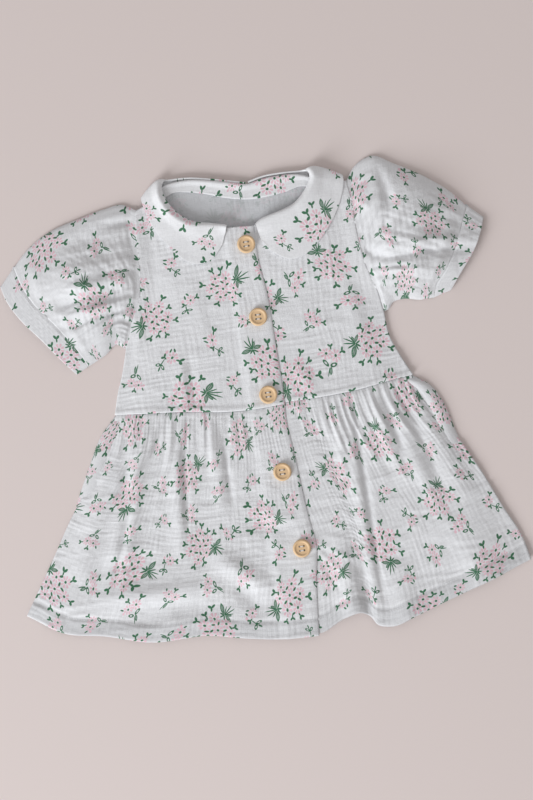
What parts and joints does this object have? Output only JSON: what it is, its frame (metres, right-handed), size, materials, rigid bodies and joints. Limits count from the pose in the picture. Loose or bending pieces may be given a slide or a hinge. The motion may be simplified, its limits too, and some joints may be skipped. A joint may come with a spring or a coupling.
{
  "type": "laid-flat child's button-front dress",
  "caption": "Child's short-sleeved cotton dress laid flat on its back, with a round collar, puff sleeves, wooden buttons and a gathered skirt.",
  "frame": {"origin": "middle of the part's bounding box, at the height of the surface that it lies on", "axes": "+X across the dress to its wearer's left, +Y up the dress to its neck, +Z out of its front"},
  "size_m": [0.5098, 0.4756, 0.0221],
  "materials": {
    "printed_gauze": "matt white double gauze with a small pink and green flower print",
    "collar_gauze": "smoother matt white gauze with the same print",
    "button_wood": "plain turned light wood"
  },
  "bodies": {
    "root": {"bodice_back": "printed_gauze", "bodice_front_right": "printed_gauze", "bodice_front_left": "printed_gauze", "skirt_back": "printed_gauze", "skirt_front_right": "printed_gauze", "skirt_front_left": "printed_gauze", "sleeve_right": "printed_gauze", "sleeve_left": "printed_gauze", "cuff_right": "printed_gauze", "cuff_left": "printed_gauze", "collar_right": "collar_gauze", "collar_left": "collar_gauze", "neck_facing": "collar_gauze", "button_1": "button_wood", "button_2": "button_wood", "button_3": "button_wood", "button_4": "button_wood", "button_5": "button_wood"}
  },
  "joints": []
}
